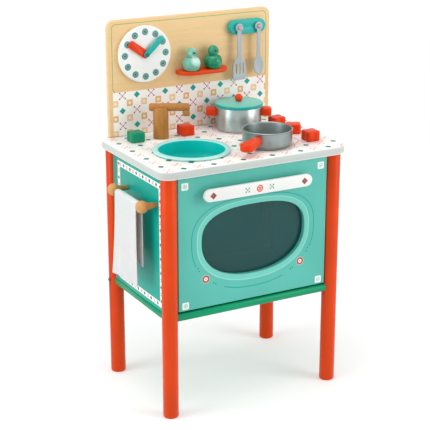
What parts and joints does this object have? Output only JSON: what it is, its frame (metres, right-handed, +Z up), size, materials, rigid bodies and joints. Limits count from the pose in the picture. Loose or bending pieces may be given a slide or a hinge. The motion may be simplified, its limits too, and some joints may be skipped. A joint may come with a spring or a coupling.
{
  "type": "toy kitchen",
  "caption": "Child's wooden play kitchen: drop-down oven door with a window, worktop with sink, swivel tap and pretend hob, round legs, and a splashback with clock, shelf and rack.",
  "frame": {"origin": "on the floor, under the middle of the whole unit's width and depth, the towel rail and the door handle included", "axes": "+Z up, the oven door faces -Y, and +X is to the right for someone who stands in front of it"},
  "size_m": [0.426, 0.285, 0.7203],
  "materials": {
    "white_paint": "white satin lacquer on wood",
    "orange_paint": "orange-red satin lacquer on wood",
    "red_paint": "red satin lacquer on wood",
    "teal_paint": "teal satin lacquer on board",
    "door_paint": "light teal satin lacquer on board",
    "green_paint": "green satin lacquer on wood",
    "mint_paint": "mint satin lacquer on wood",
    "pale_wood": "pale wood, clear satin lacquer",
    "honey_wood": "honey-brown wood, clear satin lacquer",
    "grey_paint": "light grey satin lacquer on thin wood",
    "sink_plastic": "teal moulded plastic",
    "white_plastic": "white moulded plastic",
    "window_pane": "smoked clear plastic sheet",
    "brushed_metal": "brushed thin sheet metal",
    "steel": "plain steel",
    "towel_cloth": "plain white cotton"
  },
  "bodies": {
    "unit": {"worktop": "white_paint", "leg_front_left": "orange_paint", "leg_front_right": "orange_paint", "leg_back_left": "orange_paint", "leg_back_right": "orange_paint", "leg_bolt_left": "steel", "leg_bolt_right": "steel", "base_panel": "green_paint", "side_panel_left": "teal_paint", "side_panel_right": "teal_paint", "back_panel": "teal_paint", "door_catch_block": "white_plastic", "backboard": "pale_wood", "backboard_dowel_left": "pale_wood", "backboard_dowel_right": "pale_wood", "clock_dial": "white_paint", "clock_pin": "green_paint", "shelf": "red_paint", "utensil_rack": "teal_paint", "utensil_peg_left": "pale_wood", "utensil_peg_right": "pale_wood", "towel_rail_post_front": "honey_wood", "towel_rail_post_back": "honey_wood", "towel_rail_rod": "honey_wood"},
    "door": {"oven_door": "door_paint", "door_window": "window_pane", "door_handle_bar": "white_paint", "door_handle_spacer_left": "white_paint", "door_handle_spacer_right": "white_paint", "door_hinge_pin_left": "steel", "door_hinge_pin_right": "steel", "door_catch_plate": "steel"},
    "tap": {"tap_post": "honey_wood", "tap_arm": "honey_wood", "tap_spout": "honey_wood"},
    "left_tap_knob": {"tap_knob_left": "green_paint", "tap_spindle_left": "steel"},
    "right_tap_knob": {"tap_knob_right": "red_paint", "tap_spindle_right": "steel"},
    "front_hob_knob": {"hob_knob_front": "red_paint", "hob_spindle_front": "steel"},
    "middle_hob_knob": {"hob_knob_middle": "red_paint", "hob_spindle_middle": "steel"},
    "back_hob_knob": {"hob_knob_back": "red_paint", "hob_spindle_back": "steel"},
    "hour_hand": {"clock_hour_hand": "red_paint"},
    "minute_hand": {"clock_minute_hand": "teal_paint"},
    "sink": {"sink_bowl": "sink_plastic"},
    "pot": {"pot_body": "brushed_metal", "pot_ear_left": "red_paint", "pot_ear_right": "red_paint"},
    "lid": {"pot_lid": "mint_paint", "pot_lid_knob": "red_paint"},
    "pan": {"pan_body": "brushed_metal", "pan_handle": "red_paint"},
    "left_shaker": {"shaker_mint": "mint_paint"},
    "right_shaker": {"shaker_green": "green_paint"},
    "hanging_turner": {"turner": "grey_paint"},
    "hanging_spoon": {"spoon": "grey_paint"},
    "hanging_towel": {"towel": "towel_cloth"}
  },
  "joints": [
    {"name": "door_hinge", "type": "hinge", "parent": "unit", "child": "door", "pos_m": [0.013, -0.118, 0.219], "axis": [1, 0, 0], "range_deg": [0, 90]},
    {"name": "tap_swivel", "type": "hinge", "parent": "unit", "child": "tap", "pos_m": [-0.07852, 0.08306, 0.492], "axis": [0, 0, 1], "range_deg": [-126, 57]},
    {"name": "left_tap_knob_turn", "type": "hinge", "parent": "unit", "child": "left_tap_knob", "pos_m": [-0.13252, 0.08306, 0.492], "axis": [0, 0, 1], "continuous": true},
    {"name": "right_tap_knob_turn", "type": "hinge", "parent": "unit", "child": "right_tap_knob", "pos_m": [-0.02452, 0.08306, 0.492], "axis": [0, 0, 1], "continuous": true},
    {"name": "front_hob_knob_turn", "type": "hinge", "parent": "unit", "child": "front_hob_knob", "pos_m": [0.16822, -0.0705, 0.492], "axis": [0, 0, 1], "continuous": true},
    {"name": "middle_hob_knob_turn", "type": "hinge", "parent": "unit", "child": "middle_hob_knob", "pos_m": [0.16822, -0.0075, 0.492], "axis": [0, 0, 1], "continuous": true},
    {"name": "back_hob_knob_turn", "type": "hinge", "parent": "unit", "child": "back_hob_knob", "pos_m": [0.16822, 0.0555, 0.492], "axis": [0, 0, 1], "continuous": true},
    {"name": "hour_hand_turn", "type": "hinge", "parent": "unit", "child": "hour_hand", "pos_m": [-0.09149, 0.118, 0.6518], "axis": [0, 1, 0], "continuous": true},
    {"name": "minute_hand_turn", "type": "hinge", "parent": "unit", "child": "minute_hand", "pos_m": [-0.09149, 0.114, 0.6518], "axis": [0, 1, 0], "continuous": true},
    {"name": "sink_lift", "type": "slide", "parent": "unit", "child": "sink", "axis": [0, 0, 1], "range_m": [0, 0.055]},
    {"name": "pot_lift", "type": "slide", "parent": "unit", "child": "pot", "axis": [0, -0.6, 0.8], "range_m": [0, 0.05]},
    {"name": "lid_lift", "type": "slide", "parent": "pot", "child": "lid", "axis": [0, 0, 1], "range_m": [0, 0.028]},
    {"name": "pan_lift", "type": "slide", "parent": "unit", "child": "pan", "axis": [0, 0, 1], "range_m": [0, 0.06]},
    {"name": "left_shaker_lift", "type": "slide", "parent": "unit", "child": "left_shaker", "axis": [0, 0, 1], "range_m": [0, 0.04]},
    {"name": "right_shaker_lift", "type": "slide", "parent": "unit", "child": "right_shaker", "axis": [0, 0, 1], "range_m": [0, 0.04]},
    {"name": "turner_off_peg", "type": "slide", "parent": "unit", "child": "hanging_turner", "axis": [0, -1, 0], "range_m": [0, 0.013]},
    {"name": "spoon_off_peg", "type": "slide", "parent": "unit", "child": "hanging_spoon", "axis": [0, -1, 0], "range_m": [0, 0.013]},
    {"name": "towel_lift", "type": "slide", "parent": "unit", "child": "hanging_towel", "axis": [0, 0, 1], "range_m": [0, 0.172]}
  ]
}
